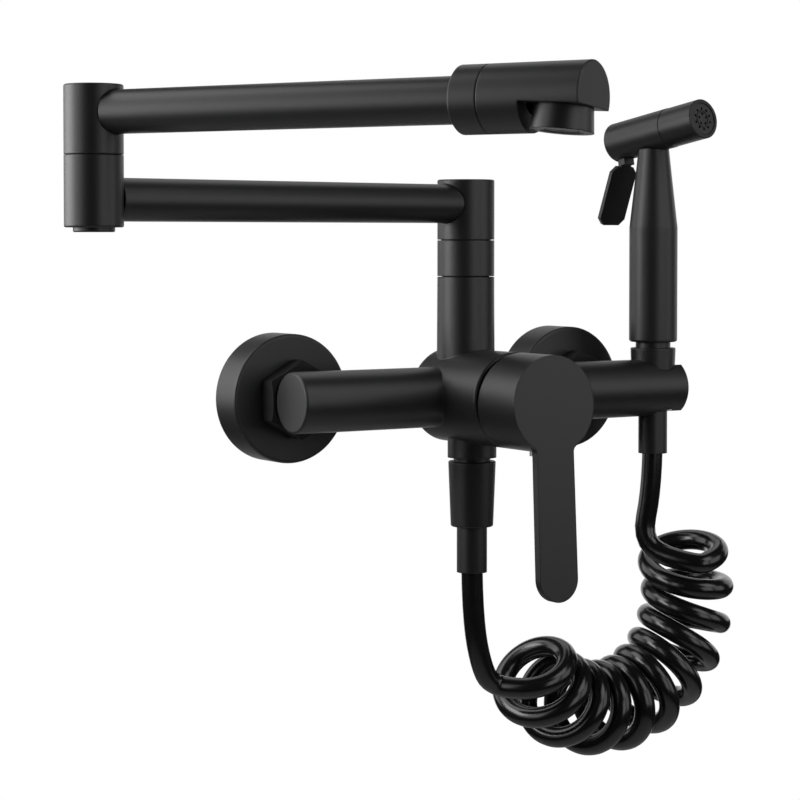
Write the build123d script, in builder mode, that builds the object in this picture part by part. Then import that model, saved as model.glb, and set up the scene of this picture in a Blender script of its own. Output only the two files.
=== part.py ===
from build123d import *
from math import cos, radians, sin, sqrt, tan
import os

os.makedirs("parts", exist_ok=True)

# Sizes in millimetres. X is right, Y goes into the wall, Z is up.
# The origin lies on the wall, midway between the two water inlets.

# Fits
slip = 0.1        # radial, between pieces that are screwed or pushed together
running = 0.05    # radial, between a turning or sliding piece and its bore
gap = 0.3         # between faces that pass each other

# Wall connections
inlet_spacing = 150.0
wall_thread_d = 20.955
wall_thread_length = 14.0
connector_d = 26.2
connector_bore = 14.0
flange_d = 56.4
flange_depth = 17.0
flange_wall = 1.6
flange_round = 1.2
inlet_washer_t = 1.5
tail_collar_d = 23.5
tail_collar_t = 2.0
tail_d = 20.0
tail_thread_d = 17.0
tail_thread_length = 7.0
nut_flats = 30.0
nut_face_d = 29.4
nut_lip = 1.5

# Mixer body. Depths are ahead of the arms' axis, which lies arm_reach off the wall.
arm_reach = 41.0
arm_d = 26.4
arm_left = 89.0
arm_right = 117.0
barrel_d = 41.6
barrel_back = -13.5
barrel_front = 37.5
edge = 0.8
waterway_d = 12.0
arm_bore_d = 11.0
port_d = 6.0
port_x = 10.5
chamber_d = 36.4
chamber_floor = 6.5
nut_seat_depth = 8.0
retaining_nut_d = 38.4
retaining_nut_length = 7.4
retaining_nut_bore = 26.0

# Riser and swivel
riser_d = 25.2
riser_base_d = 25.8
riser_seat = 52.6
seam_height = 0.4
seam_depth = 2.2
seam = 0.3
collar_height = 16.15
head_top = 95.5
spigot_d = 15.0
spigot_depth = 22.0
spigot_bore = 10.0
bush_wall = 1.5
clip_t = 1.5
clip_reach = 1.8
ring_wire = 1.8

# Folding spout
tube_d = 17.0
tube_wall = 1.5
lower_length = 200.0
lower_angle = 10.2
lower_z = 84.8
knuckle_d = 23.0
knuckle_bottom = 74.0
knuckle_seam = 101.75
knuckle_top = 128.9
knuckle_spigot_d = 13.6
knuckle_spigot_bore = 8.0
knuckle_cap_d = 16.2
knuckle_cap_proud = 1.8
tube_inset = 8.9
upper_angle = 63.75
upper_z = 118.1
outlet_d = 24.5
outlet_collar_start = 163.0
outlet_collar_end = 174.5
outlet_end = 214.0
outlet_flat = 3.25
outlet_recess_start = 191.0
nozzle_roll = 5.0
flat_tilt = 3.0
aerator_at = 202.8
aerator_top_d = 20.6
aerator_bottom_d = 23.0
aerator_drop = 11.9
aerator_thread_d = 17.0
aerator_bore = 15.0
mesh_pitch = 2.2
mesh_hole = 1.5

# Lever and cartridge, with depths ahead of the arms' axis
cartridge_d = 35.0
rotor_d = 30.0
rotor_back = 16.8
rotor_shoulder = 27.5
rotor_front = 35.0
rotor_neck_d = 23.0
seal_t = 0.8
fixed_disc_t = 2.5
moving_disc_d = 23.0
moving_disc_t = 2.1
carrier_t = 4.2
pivot_depth = 21.0
pivot_d = 4.0
pivot_length = 22.0
stem_side = 6.4
stem_back = 18.0
stem_neck_d = 2.8
stem_front = 58.0
stem_ball_d = 4.4
stem_ball_depth = 14.2
stem_slot_up = 10.0
stem_slot_down = 5.3
handle_d = 41.6
handle_front = 66.1
handle_lean = 3.0
handle_skirt = 2.2
handle_plate = 3.6
handle_gap_bottom = 0.5
handle_gap_top = 4.2
hub_d = 16.0
hub_back = 45.0
paddle_width = 19.0
paddle_tip_width = 19.6
paddle_tip = 83.0
paddle_fillet = 3.0
set_screw_d = 3.0
set_screw_depth = 51.0
set_screw_proud = 2.0

# Hose ends, the same at the body and at the hand spray
hose_outlet_depth = 5.0
hose_stub_d = 21.6
hose_stub_bottom = -26.9
groove_d = 16.2
groove_height = 1.65
nipple_length = 14.55
hose_nut_top_d = 21.0
hose_nut_bottom_d = 18.8
hose_nut_length = 28.8
hose_washer_t = 1.5
ferrule_flange_t = 1.4
sleeve_d = 13.4
sleeve_visible = 20.4
hose_bore = 9.8

# Spiral hose
hose_d = 9.6
coil_radius = 16.1
coil_front_radius = 18.9
coil_turns = 10
coil_bend_radius = 49.9
coil_centre = (75.5, -41.9, -97.9)
coil_start_angle = 209.7
coil_end_angle = 384.9
coil_start_phase = 39.4
coil_end_phase = 91.2
coil_start_lean = -10.9
coil_end_lean = 8.3
lead_in = 8.8
lead_out = 13.3
body_lead_bend = (7.7, -45.2, -123.3)
spray_lead_bend = (103.0, -37.0, -76.0)

# Hand spray
spray_x = 105.65
fork_slot = 15.4
seat_floor = -10.4
spray_nut_top = 18.6
grip_bottom = 21.4
grip_d = 22.4
grip_shoulder = 74.4
cone_d = 15.6
cone_top = 104.4
neck_d = 14.2
neck_top = 111.0
neck_spigot_d = 11.0
neck_spigot_length = 3.5
head_d = 18.5
head_z = 118.64
head_yaw = 7.0
head_tilt = 9.7
head_rear = 24.7
head_seam = 11.5
head_front = 31.9
nozzle_step = 0.15
nozzle_wall = 1.8
face_t = 2.0
face_recess = 0.5
jet_d = 1.2
jet_circle_d = 9.5
jet_count = 10
trigger_pin_d = 3.0
trigger_pin_at = 20.0
trigger_pin_up = 4.0
trigger_slot = 7.2
trigger_slot_back = 23.2
trigger_slot_front = 13.0
trigger_arm = 6.4
trigger_arm_depth = 4.2
trigger_eye_wall = 1.2
trigger_width = 16.0
trigger_length = 31.7
trigger_neck_length = 2.7
trigger_corner = 3.0
trigger_t = 2.0
trigger_lean = 20.0
plunger_d = 3.0
plunger_below = 4.5
plunger_start = 17.6
plunger_tip = 1.2
plunger_flange_at = 3.0
plunger_flange_d = 6.0
plunger_flange_t = 1.5
valve_chamber_d = 8.0
valve_chamber_start = 9.0
valve_chamber_end = 8.0
spring_wire = 0.8
spring_d = 5.6
spring_turns = 4


def turn(plane, outline, mode=Mode.ADD):
    """Revolve a half section of (radius, height) points round the plane's normal."""
    section = Plane(plane.origin, x_dir=plane.x_dir, z_dir=plane.x_dir.cross(plane.z_dir))
    with BuildSketch(section) as profile:
        with BuildLine():
            Polyline(*outline, close=True)
        make_face()
    revolve(profile.sketch, axis=Axis(plane.origin, plane.z_dir), mode=mode)


def rod(plane, diameter, start, end, mode=Mode.ADD):
    """Round bar along the plane's normal between two heights."""
    with BuildSketch(plane.offset(start)) as profile:
        Circle(diameter / 2)
    extrude(profile.sketch, amount=end - start, mode=mode)


def block(plane, width, height, start, end, mode=Mode.ADD):
    """Rectangular bar along the plane's normal between two heights."""
    with BuildSketch(plane.offset(start)) as profile:
        Rectangle(width, height)
    extrude(profile.sketch, amount=end - start, mode=mode)


def seal_ring(plane, inner_d, height):
    """Round-section ring that sits in a groove of the given floor diameter."""
    section = Plane(plane.origin, x_dir=plane.x_dir, z_dir=plane.x_dir.cross(plane.z_dir))
    with BuildSketch(section) as profile:
        with Locations((inner_d / 2 + ring_wire / 2, height)):
            Circle(ring_wire / 2)
    revolve(profile.sketch, axis=Axis(plane.origin, plane.z_dir))


def biarc(start, start_dir, end, end_dir):
    """Middle point and its tangent for two arcs that join two tangents."""
    chord = end - start
    turn_sum = start_dir + end_dir
    spread = 2 * (1 - start_dir.dot(end_dir))
    reach = (sqrt(chord.dot(turn_sum) ** 2 + spread * chord.dot(chord)) - chord.dot(turn_sum)) / spread
    first = start + start_dir * reach
    second = end - end_dir * reach
    return (first + second) * 0.5, (second - first).normalized()


hose_outlet_y = -arm_reach - hose_outlet_depth
barrel = Plane((0, -arm_reach, 0), x_dir=(1, 0, 0), z_dir=(0, -1, 0))
arm = Plane((0, -arm_reach, 0), x_dir=(0, 1, 0), z_dir=(1, 0, 0))
riser = Plane((0, -arm_reach, 0), x_dir=(1, 0, 0), z_dir=(0, 0, 1))
hose_outlet = Plane((0, hose_outlet_y, 0), x_dir=(1, 0, 0), z_dir=(0, 0, 1))
inlet_left = Plane((-inlet_spacing / 2, 0, 0), x_dir=(1, 0, 0), z_dir=(0, -1, 0))
inlet_right = Plane((inlet_spacing / 2, 0, 0), x_dir=(1, 0, 0), z_dir=(0, -1, 0))
spray = Plane((spray_x, -arm_reach, 0), x_dir=(1, 0, 0), z_dir=(0, 0, 1))

# Wall flanges
flange_outline = [
    (connector_d / 2 + slip, flange_depth - flange_wall),
    (flange_d / 2 - flange_wall, flange_depth - flange_wall),
    (flange_d / 2 - flange_wall, 0),
    (flange_d / 2, 0),
    (flange_d / 2, flange_depth),
    (connector_d / 2 + slip, flange_depth),
]
with BuildPart() as wall_flange_left:
    turn(inlet_left, flange_outline)
    fillet(wall_flange_left.edges().sort_by(Axis.Y)[0:2].sort_by(SortBy.LENGTH)[-1], flange_round)
wall_flange_left.part.label = "wall_flange_left"
export_step(wall_flange_left.part, "parts/wall_flange_left.step")

with BuildPart() as wall_flange_right:
    turn(inlet_right, flange_outline)
    fillet(wall_flange_right.edges().sort_by(Axis.Y)[0:2].sort_by(SortBy.LENGTH)[-1], flange_round)
wall_flange_right.part.label = "wall_flange_right"
export_step(wall_flange_right.part, "parts/wall_flange_right.step")

# Inlet connectors, screwed into the wall, as long as the arms' reach leaves room for
tail_shoulder = arm_reach - arm_d / 2
nut_end = tail_shoulder - gap
tail_collar_end = nut_end - nut_lip
tail_face = tail_collar_end - tail_collar_t
connector_length = tail_face - inlet_washer_t
connector_outline = [
    (connector_bore / 2, -wall_thread_length),
    (wall_thread_d / 2, -wall_thread_length),
    (wall_thread_d / 2, 0),
    (connector_d / 2, 0),
    (connector_d / 2, connector_length),
    (connector_bore / 2, connector_length),
]
with BuildPart() as inlet_connector_left:
    turn(inlet_left, connector_outline)
inlet_connector_left.part.label = "inlet_connector_left"
export_step(inlet_connector_left.part, "parts/inlet_connector_left.step")

with BuildPart() as inlet_connector_right:
    turn(inlet_right, connector_outline)
inlet_connector_right.part.label = "inlet_connector_right"
export_step(inlet_connector_right.part, "parts/inlet_connector_right.step")

# Washers between connector and tail
with BuildPart() as inlet_washer_left:
    rod(inlet_left, tail_collar_d, connector_length, tail_face)
    rod(inlet_left, connector_bore, connector_length, tail_face, Mode.SUBTRACT)
inlet_washer_left.part.label = "inlet_washer_left"
export_step(inlet_washer_left.part, "parts/inlet_washer_left.step")

with BuildPart() as inlet_washer_right:
    rod(inlet_right, tail_collar_d, connector_length, tail_face)
    rod(inlet_right, connector_bore, connector_length, tail_face, Mode.SUBTRACT)
inlet_washer_right.part.label = "inlet_washer_right"
export_step(inlet_washer_right.part, "parts/inlet_washer_right.step")

# Tails, screwed into the back of the arms
tail_outline = [
    (waterway_d / 2, tail_face),
    (tail_collar_d / 2, tail_face),
    (tail_collar_d / 2, tail_collar_end),
    (tail_d / 2, tail_collar_end),
    (tail_d / 2, tail_shoulder),
    (tail_thread_d / 2, tail_shoulder),
    (tail_thread_d / 2, tail_shoulder + tail_thread_length),
    (waterway_d / 2, tail_shoulder + tail_thread_length),
]
with BuildPart() as inlet_tail_left:
    turn(inlet_left, tail_outline)
inlet_tail_left.part.label = "inlet_tail_left"
export_step(inlet_tail_left.part, "parts/inlet_tail_left.step")

with BuildPart() as inlet_tail_right:
    turn(inlet_right, tail_outline)
inlet_tail_right.part.label = "inlet_tail_right"
export_step(inlet_tail_right.part, "parts/inlet_tail_right.step")

# Union nuts
nut_start = flange_depth + gap
nut_bore_d = connector_d + 2 * slip
nut_lip_bore_d = tail_d + 2 * slip
nut_corner_d = nut_flats / cos(radians(30))
nut_bevel = (nut_corner_d - nut_face_d) / 2 * tan(radians(30))
nut_outside = [
    (0, nut_start),
    (nut_face_d / 2, nut_start),
    (nut_corner_d / 2, nut_start + nut_bevel),
    (nut_corner_d / 2, nut_end - nut_bevel),
    (nut_face_d / 2, nut_end),
    (0, nut_end),
]
with BuildPart() as union_nut_left:
    with BuildSketch(inlet_left.offset(nut_start)):
        RegularPolygon(nut_flats / 2, 6, major_radius=False, rotation=30)
    extrude(amount=nut_end - nut_start)
    turn(inlet_left, nut_outside, Mode.INTERSECT)
    rod(inlet_left, nut_bore_d, nut_start, tail_collar_end, Mode.SUBTRACT)
    rod(inlet_left, nut_lip_bore_d, tail_collar_end, nut_end, Mode.SUBTRACT)
union_nut_left.part.label = "union_nut_left"
export_step(union_nut_left.part, "parts/union_nut_left.step")

with BuildPart() as union_nut_right:
    with BuildSketch(inlet_right.offset(nut_start)):
        RegularPolygon(nut_flats / 2, 6, major_radius=False, rotation=30)
    extrude(amount=nut_end - nut_start)
    turn(inlet_right, nut_outside, Mode.INTERSECT)
    rod(inlet_right, nut_bore_d, nut_start, tail_collar_end, Mode.SUBTRACT)
    rod(inlet_right, nut_lip_bore_d, tail_collar_end, nut_end, Mode.SUBTRACT)
union_nut_right.part.label = "union_nut_right"
export_step(union_nut_right.part, "parts/union_nut_right.step")

# Mixer body: barrel, arms, riser, hose outlet and fork, cast in one piece
nipple_end = hose_stub_bottom - groove_height - nipple_length
socket_d = spigot_d + 2 * running
clip_d = spigot_d + 2 * clip_reach
clip_floor = riser_seat - clip_t - 4 * gap
spigot_end = riser_seat - spigot_depth
nut_step = barrel_front - nut_seat_depth
outlet_joint = barrel_d / 2 + waterway_d / 3
seat_low_r = hose_nut_bottom_d / 2 + running
seat_high_z = spray_nut_top
seat_high_r = hose_nut_top_d / 2 + running
with BuildPart() as mixer_body:
    turn(barrel, [
        (0, barrel_back),
        (barrel_d / 2 - edge, barrel_back),
        (barrel_d / 2, barrel_back + edge),
        (barrel_d / 2, barrel_front - edge),
        (barrel_d / 2 - edge, barrel_front),
        (0, barrel_front),
    ])
    turn(arm, [
        (0, -arm_left),
        (arm_d / 2 - edge, -arm_left),
        (arm_d / 2, edge - arm_left),
        (arm_d / 2, arm_right - edge),
        (arm_d / 2 - edge, arm_right),
        (0, arm_right),
    ])
    turn(riser, [
        (0, 0),
        (riser_base_d / 2, 0),
        (riser_d / 2, riser_seat),
        (0, riser_seat),
    ])
    rod(hose_outlet, hose_stub_d, hose_stub_bottom, 0)
    rod(hose_outlet, groove_d, nipple_end, 0)
    rod(inlet_left, tail_d, tail_shoulder, arm_reach)
    rod(inlet_right, tail_d, tail_shoulder, arm_reach)
    turn(barrel, [
        (0, chamber_floor),
        (chamber_d / 2, chamber_floor),
        (chamber_d / 2, nut_step),
        (retaining_nut_d / 2 + slip, nut_step),
        (retaining_nut_d / 2 + slip, barrel_front),
        (0, barrel_front),
    ], Mode.SUBTRACT)
    rod(riser, waterway_d, -outlet_joint, spigot_end, Mode.SUBTRACT)
    rod(hose_outlet, waterway_d, nipple_end, gap - barrel_d / 2, Mode.SUBTRACT)
    rod(riser, socket_d, spigot_end - gap, riser_seat, Mode.SUBTRACT)
    rod(riser, clip_d + 2 * gap, clip_floor, riser_seat, Mode.SUBTRACT)
    for inlet in (inlet_left, inlet_right):
        rod(inlet, waterway_d, tail_shoulder, arm_reach, Mode.SUBTRACT)
        rod(inlet, tail_thread_d + 2 * slip, tail_shoulder, tail_shoulder + tail_thread_length, Mode.SUBTRACT)
    bore_end = inlet_spacing / 2 + arm_bore_d / 2
    rod(arm, arm_bore_d, -bore_end, port_d / 2 - port_x, Mode.SUBTRACT)
    rod(arm, arm_bore_d, port_x - port_d / 2, bore_end, Mode.SUBTRACT)
    with BuildSketch(barrel):
        with Locations((-port_x, 0), (0, 0), (port_x, 0)):
            Circle(port_d / 2)
    extrude(amount=chamber_floor, mode=Mode.SUBTRACT)
    turn(spray, [
        (0, seat_floor),
        (seat_low_r, seat_floor),
        (seat_high_r, seat_high_z),
        (0, seat_high_z),
    ], Mode.SUBTRACT)
    with BuildSketch(Plane.XY.offset(-arm_d)):
        with Locations((spray_x, -arm_reach)):
            Circle(fork_slot / 2)
            Rectangle(2 * arm_d, fork_slot, align=(Align.MIN, Align.CENTER))
    extrude(amount=2 * arm_d, mode=Mode.SUBTRACT)
mixer_body.part.label = "mixer_body"
export_step(mixer_body.part, "parts/mixer_body.step")

# Swivel: collar and bush on the riser
collar_top = riser_seat + collar_height
bush_d = spigot_d + 2 * running + 2 * bush_wall
with BuildPart() as swivel_collar:
    rod(riser, riser_d, riser_seat + seam_height, collar_top)
    rod(riser, riser_d - 2 * seam_depth, riser_seat, collar_top)
    rod(riser, bush_d + 2 * slip, riser_seat + bush_wall, collar_top, Mode.SUBTRACT)
    rod(riser, spigot_d + 2 * slip, riser_seat, collar_top, Mode.SUBTRACT)
swivel_collar.part.label = "swivel_collar"
export_step(swivel_collar.part, "parts/swivel_collar.step")

with BuildPart() as swivel_bush:
    rod(riser, bush_d, riser_seat + bush_wall, collar_top)
    rod(riser, socket_d, riser_seat + bush_wall, collar_top, Mode.SUBTRACT)
swivel_bush.part.label = "swivel_bush"
export_step(swivel_bush.part, "parts/swivel_bush.step")

# Riser head with its spigot
head_bottom = collar_top + gap
ring_groove_d = spigot_d - 2 * ring_wire
clip_z = clip_floor + 2 * gap
ring_heights = (spigot_end + 3 * ring_wire, spigot_end + 6 * ring_wire)
lower_dir = Vector(-cos(radians(lower_angle)), -sin(radians(lower_angle)), 0)
lower = Plane((0, -arm_reach, lower_z), x_dir=(0, 0, 1), z_dir=lower_dir)
with BuildPart() as riser_head:
    rod(riser, riser_d, head_bottom, head_top)
    fillet(riser_head.edges().sort_by(Axis.Z)[-1], edge)
    rod(riser, spigot_d, spigot_end, head_bottom)
    for height in ring_heights:
        turn(riser, [
            (ring_groove_d / 2, height - ring_wire / 2 - slip),
            (spigot_d, height - ring_wire / 2 - slip),
            (spigot_d, height + ring_wire / 2 + slip),
            (ring_groove_d / 2, height + ring_wire / 2 + slip),
        ], Mode.SUBTRACT)
    turn(riser, [
        (spigot_d / 2 - clip_reach, clip_z - slip),
        (spigot_d, clip_z - slip),
        (spigot_d, clip_z + clip_t + slip),
        (spigot_d / 2 - clip_reach, clip_z + clip_t + slip),
    ], Mode.SUBTRACT)
    rod(riser, spigot_bore, spigot_end, lower_z + spigot_bore / 2, Mode.SUBTRACT)
    rod(lower, spigot_bore, 0, riser_d, Mode.SUBTRACT)
    rod(lower, tube_d + 2 * slip, tube_inset, riser_d, Mode.SUBTRACT)
riser_head.part.label = "riser_head"
export_step(riser_head.part, "parts/riser_head.step")

with BuildPart() as riser_seals:
    for height in ring_heights:
        seal_ring(riser, ring_groove_d, height)
riser_seals.part.label = "riser_seals"
export_step(riser_seals.part, "parts/riser_seals.step")

with BuildPart() as riser_clip:
    rod(riser, clip_d, clip_z, clip_z + clip_t)
    rod(riser, spigot_d - 2 * clip_reach + 2 * slip, clip_z, clip_z + clip_t, Mode.SUBTRACT)
    with BuildSketch(riser.offset(clip_z)):
        Rectangle(clip_d, 2 * clip_reach, align=(Align.MIN, Align.CENTER))
    extrude(amount=clip_t, mode=Mode.SUBTRACT)
riser_clip.part.label = "riser_clip"
export_step(riser_clip.part, "parts/riser_clip.step")

# Lower arm
with BuildPart() as lower_tube:
    rod(lower, tube_d, tube_inset, lower_length - tube_inset)
    rod(lower, tube_d - 2 * tube_wall, tube_inset, lower_length - tube_inset, Mode.SUBTRACT)
lower_tube.part.label = "lower_tube"
export_step(lower_tube.part, "parts/lower_tube.step")

elbow_at = Vector(0, -arm_reach, 0) + lower_dir * lower_length
elbow = Plane(elbow_at, x_dir=(1, 0, 0), z_dir=(0, 0, 1))
elbow_clip_d = knuckle_cap_d - 2 * slip
elbow_clip_z = knuckle_bottom + 2 * clip_t
elbow_step = elbow_clip_z + clip_t + gap
cap_inside = clip_t
with BuildPart() as knuckle_lower:
    rod(elbow, knuckle_d, knuckle_bottom, knuckle_seam)
    fillet(knuckle_lower.edges().sort_by(Axis.Z)[0], edge)
    rod(elbow, knuckle_spigot_d + 2 * running, knuckle_bottom, knuckle_seam, Mode.SUBTRACT)
    rod(elbow, knuckle_cap_d + 2 * slip, knuckle_bottom, elbow_step, Mode.SUBTRACT)
    rod(lower, tube_d + 2 * slip, lower_length - knuckle_d, lower_length - tube_inset, Mode.SUBTRACT)
    rod(lower, knuckle_spigot_bore, lower_length - knuckle_d, lower_length, Mode.SUBTRACT)
knuckle_lower.part.label = "knuckle_lower"
export_step(knuckle_lower.part, "parts/knuckle_lower.step")

with BuildPart() as knuckle_cap:
    rod(elbow, knuckle_cap_d, knuckle_bottom - knuckle_cap_proud, knuckle_bottom + cap_inside)
    chamfer(knuckle_cap.edges().sort_by(Axis.Z)[0], edge / 2)
knuckle_cap.part.label = "knuckle_cap"
export_step(knuckle_cap.part, "parts/knuckle_cap.step")

# Upper arm
upper_dir = Vector(cos(radians(upper_angle)), -sin(radians(upper_angle)), 0)
upper = Plane((elbow_at.X, elbow_at.Y, upper_z), x_dir=(0, 0, 1), z_dir=upper_dir)
knuckle_start = knuckle_seam + gap
elbow_spigot_end = elbow_clip_z - clip_t / 2
elbow_groove_d = knuckle_spigot_d - 2 * ring_wire
elbow_ring_z = knuckle_seam - 2 * ring_wire
with BuildPart() as knuckle_upper:
    rod(elbow, knuckle_d, knuckle_start, knuckle_top)
    fillet(knuckle_upper.edges().sort_by(Axis.Z)[-1], edge)
    rod(elbow, knuckle_spigot_d, elbow_spigot_end, knuckle_start)
    turn(elbow, [
        (elbow_groove_d / 2, elbow_ring_z - ring_wire / 2 - slip),
        (knuckle_spigot_d, elbow_ring_z - ring_wire / 2 - slip),
        (knuckle_spigot_d, elbow_ring_z + ring_wire / 2 + slip),
        (elbow_groove_d / 2, elbow_ring_z + ring_wire / 2 + slip),
    ], Mode.SUBTRACT)
    turn(elbow, [
        (knuckle_spigot_d / 2 - clip_reach / 2, elbow_clip_z - slip),
        (knuckle_spigot_d, elbow_clip_z - slip),
        (knuckle_spigot_d, elbow_clip_z + clip_t + slip),
        (knuckle_spigot_d / 2 - clip_reach / 2, elbow_clip_z + clip_t + slip),
    ], Mode.SUBTRACT)
    rod(elbow, knuckle_spigot_bore, lower_z - knuckle_spigot_bore / 2, upper_z, Mode.SUBTRACT)
    rod(lower, knuckle_spigot_bore, lower_length - knuckle_d, lower_length, Mode.SUBTRACT)
    rod(upper, knuckle_spigot_bore, 0, knuckle_d, Mode.SUBTRACT)
    rod(upper, tube_d + 2 * slip, tube_inset, knuckle_d, Mode.SUBTRACT)
knuckle_upper.part.label = "knuckle_upper"
export_step(knuckle_upper.part, "parts/knuckle_upper.step")

with BuildPart() as knuckle_seal:
    seal_ring(elbow, elbow_groove_d, elbow_ring_z)
knuckle_seal.part.label = "knuckle_seal"
export_step(knuckle_seal.part, "parts/knuckle_seal.step")

with BuildPart() as knuckle_clip:
    rod(elbow, elbow_clip_d, elbow_clip_z, elbow_clip_z + clip_t)
    rod(elbow, knuckle_spigot_d - clip_reach + 2 * slip, elbow_clip_z, elbow_clip_z + clip_t, Mode.SUBTRACT)
    with BuildSketch(elbow.offset(elbow_clip_z)):
        Rectangle(elbow_clip_d, 2 * clip_reach, align=(Align.MIN, Align.CENTER))
    extrude(amount=clip_t, mode=Mode.SUBTRACT)
knuckle_clip.part.label = "knuckle_clip"
export_step(knuckle_clip.part, "parts/knuckle_clip.step")

upper_tube_end = outlet_collar_start + tube_inset
with BuildPart() as upper_tube:
    rod(upper, tube_d, tube_inset, upper_tube_end)
    rod(upper, tube_d - 2 * tube_wall, tube_inset, upper_tube_end, Mode.SUBTRACT)
upper_tube.part.label = "upper_tube"
export_step(upper_tube.part, "parts/upper_tube.step")

with BuildPart() as outlet_collar:
    turn(upper, [
        (0, outlet_collar_start),
        (outlet_d / 2 - edge, outlet_collar_start),
        (outlet_d / 2, outlet_collar_start + edge),
        (outlet_d / 2, outlet_collar_end - seam),
        (outlet_d / 2 - seam, outlet_collar_end),
        (0, outlet_collar_end),
    ])
    rod(upper, tube_d + 2 * slip, outlet_collar_start, upper_tube_end, Mode.SUBTRACT)
    rod(upper, waterway_d, outlet_collar_start, outlet_collar_end, Mode.SUBTRACT)
outlet_collar.part.label = "outlet_collar"
export_step(outlet_collar.part, "parts/outlet_collar.step")

# Outlet nozzle, rolled a little about the arm, with its underside cut flat for the aerator
far_side = Vector(sin(radians(upper_angle)), cos(radians(upper_angle)), 0)
outlet_up = Vector(0, 0, 1) * cos(radians(nozzle_roll)) + far_side * sin(radians(nozzle_roll))
outlet = Plane(upper.origin, x_dir=outlet_up, z_dir=upper_dir)
flat_dir = upper_dir * cos(radians(flat_tilt)) - outlet_up * sin(radians(flat_tilt))
flat_down = -outlet_up * cos(radians(flat_tilt)) - upper_dir * sin(radians(flat_tilt))
aerator = Plane(upper.origin + upper_dir * aerator_at, x_dir=flat_dir, z_dir=flat_down)
aerator_shank = outlet_flat - aerator_thread_d / 3
with BuildPart() as outlet_nozzle:
    turn(outlet, [
        (0, outlet_collar_end),
        (outlet_d / 2 - seam, outlet_collar_end),
        (outlet_d / 2, outlet_collar_end + seam),
        (outlet_d / 2, outlet_end - edge / 2),
        (outlet_d / 2 - edge / 2, outlet_end),
        (0, outlet_end),
    ])
    with BuildSketch(aerator.offset(outlet_flat)):
        with Locations((outlet_recess_start - aerator_at, 0)):
            Rectangle(2 * outlet_d, 2 * outlet_d, align=(Align.MIN, Align.CENTER))
    extrude(amount=outlet_d, mode=Mode.SUBTRACT)
    rod(aerator, aerator_thread_d + 2 * slip, aerator_shank - inlet_washer_t, outlet_d, Mode.SUBTRACT)
    rod(outlet, waterway_d, outlet_collar_end, aerator_at, Mode.SUBTRACT)
outlet_nozzle.part.label = "outlet_nozzle"
export_step(outlet_nozzle.part, "parts/outlet_nozzle.step")

with BuildPart() as aerator_washer:
    rod(aerator, aerator_thread_d, aerator_shank - inlet_washer_t, aerator_shank)
    rod(aerator, waterway_d, aerator_shank - inlet_washer_t, aerator_shank, Mode.SUBTRACT)
aerator_washer.part.label = "aerator_washer"
export_step(aerator_washer.part, "parts/aerator_washer.step")

insert_floor = aerator_shank + inlet_washer_t
with BuildPart() as aerator_housing:
    turn(aerator, [
        (waterway_d / 2, aerator_shank),
        (aerator_thread_d / 2, aerator_shank),
        (aerator_thread_d / 2, outlet_flat),
        (aerator_top_d / 2, outlet_flat),
        (aerator_bottom_d / 2 - edge / 2, aerator_drop),
        (aerator_bore / 2, aerator_drop),
        (aerator_bore / 2, insert_floor),
        (waterway_d / 2, insert_floor),
    ])
aerator_housing.part.label = "aerator_housing"
export_step(aerator_housing.part, "parts/aerator_housing.step")

insert_end = aerator_drop - 2 * edge
with BuildPart() as aerator_insert:
    rod(aerator, aerator_bore - 2 * slip, insert_floor, insert_end)
    rod(aerator, waterway_d, insert_floor, insert_end - inlet_washer_t, Mode.SUBTRACT)
    with BuildSketch(aerator.offset(insert_end - inlet_washer_t)):
        with GridLocations(mesh_pitch, mesh_pitch, 4, 4):
            Rectangle(mesh_hole, mesh_hole)
    extrude(amount=inlet_washer_t, mode=Mode.SUBTRACT)
aerator_insert.part.label = "aerator_insert"
export_step(aerator_insert.part, "parts/aerator_insert.step")

# Cartridge
fixed_disc_back = chamber_floor + seal_t
fixed_disc_front = fixed_disc_back + fixed_disc_t
moving_disc_back = fixed_disc_front + running
moving_disc_front = moving_disc_back + moving_disc_t
carrier_front = moving_disc_front + carrier_t
housing_bore_d = rotor_d + 2 * running
housing_shoulder = nut_step + slip
with BuildPart() as cartridge_seals:
    with BuildSketch(barrel.offset(chamber_floor)):
        Circle(rotor_d / 2)
        with Locations((-port_x, 0), (0, 0), (port_x, 0)):
            Circle(port_d / 2, mode=Mode.SUBTRACT)
    extrude(amount=seal_t)
cartridge_seals.part.label = "cartridge_seals"
export_step(cartridge_seals.part, "parts/cartridge_seals.step")

with BuildPart() as fixed_disc:
    with BuildSketch(barrel.offset(fixed_disc_back)):
        Circle(rotor_d / 2)
        with Locations((-port_x, 0), (0, 0), (port_x, 0)):
            Circle(port_d / 2, mode=Mode.SUBTRACT)
    extrude(amount=fixed_disc_t)
fixed_disc.part.label = "fixed_disc"
export_step(fixed_disc.part, "parts/fixed_disc.step")

with BuildPart() as cartridge_housing:
    turn(barrel, [
        (housing_bore_d / 2, chamber_floor),
        (cartridge_d / 2, chamber_floor),
        (cartridge_d / 2, housing_shoulder),
        (retaining_nut_bore / 2 - slip, housing_shoulder),
        (retaining_nut_bore / 2 - slip, rotor_front),
        (rotor_neck_d / 2 + running, rotor_front),
        (rotor_neck_d / 2 + running, rotor_shoulder + gap),
        (housing_bore_d / 2, rotor_shoulder + gap),
    ])
cartridge_housing.part.label = "cartridge_housing"
export_step(cartridge_housing.part, "parts/cartridge_housing.step")

with BuildPart() as retaining_nut:
    rod(barrel, retaining_nut_d, housing_shoulder, housing_shoulder + retaining_nut_length)
    rod(barrel, retaining_nut_bore, housing_shoulder, housing_shoulder + retaining_nut_length, Mode.SUBTRACT)
retaining_nut.part.label = "retaining_nut"
export_step(retaining_nut.part, "parts/retaining_nut.step")

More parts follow.
